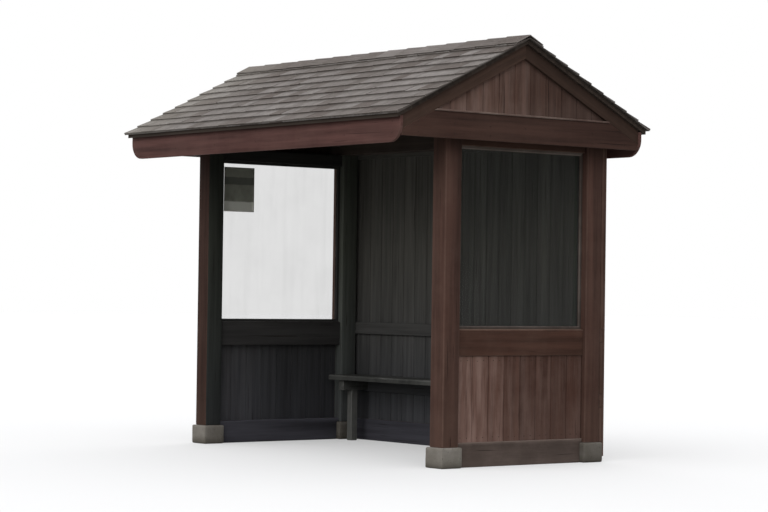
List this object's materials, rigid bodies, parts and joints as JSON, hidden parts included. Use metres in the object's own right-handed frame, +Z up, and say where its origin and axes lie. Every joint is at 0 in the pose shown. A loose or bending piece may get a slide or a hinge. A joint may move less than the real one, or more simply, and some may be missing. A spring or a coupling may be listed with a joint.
{
  "type": "bus shelter",
  "caption": "Timber waiting shelter with an open front, boarded back, half-boarded glazed ends, a bench and a shingled gable roof with deep eaves.",
  "frame": {"origin": "on the ground under the ridge, at the middle of the shelter's length", "axes": "+X along the length, +Y from the open front to the boarded back, +Z up"},
  "size_m": [3.37, 2.3078, 2.9655],
  "materials": {
    "frame_stain": "red-brown stained timber, weathered",
    "dark_stain": "dark brown stained timber",
    "trim_stain": "deep red-brown stained boards",
    "board_stain": "faded red-brown stained boards",
    "kicker_stain": "stained timber worn grey near the ground",
    "bench_stain": "worn stained timber",
    "shingle": "weathered grey wooden shingles",
    "pad_concrete": "rough cast concrete",
    "pane": "clear glazing",
    "bead_stain": "worn pale stained beads",
    "notice": "matte faded card"
  },
  "bodies": {
    "root": {"front_left_post": "frame_stain", "front_right_post": "frame_stain", "back_left_post": "frame_stain", "back_right_post": "frame_stain", "left_top_rail": "frame_stain", "right_top_rail": "frame_stain", "left_mid_rail": "frame_stain", "right_mid_rail": "frame_stain", "front_plate": "dark_stain", "back_plate": "dark_stain", "back_rails": "dark_stain", "back_boards": "dark_stain", "bench_bearers": "dark_stain", "ridge_board": "dark_stain", "front_rafters": "dark_stain", "back_rafters": "dark_stain", "gable_sills": "dark_stain", "front_deck": "dark_stain", "back_deck": "dark_stain", "left_barges": "dark_stain", "right_barges": "dark_stain", "front_fascia": "trim_stain", "back_fascia": "trim_stain", "left_gable_base": "trim_stain", "right_gable_base": "trim_stain", "left_panel": "board_stain", "right_panel": "board_stain", "left_gable": "board_stain", "right_gable": "board_stain", "left_kicker": "kicker_stain", "right_kicker": "kicker_stain", "back_kicker": "kicker_stain", "bench_seat": "bench_stain", "bench_legs": "bench_stain", "front_shingles": "shingle", "back_shingles": "shingle", "ridge_cap": "shingle", "front_left_pad": "pad_concrete", "front_right_pad": "pad_concrete", "back_left_pad": "pad_concrete", "back_right_pad": "pad_concrete", "left_pane": "pane", "right_pane": "pane", "left_beads": "bead_stain", "right_beads": "bead_stain", "notice_panel": "notice"}
  },
  "joints": []
}
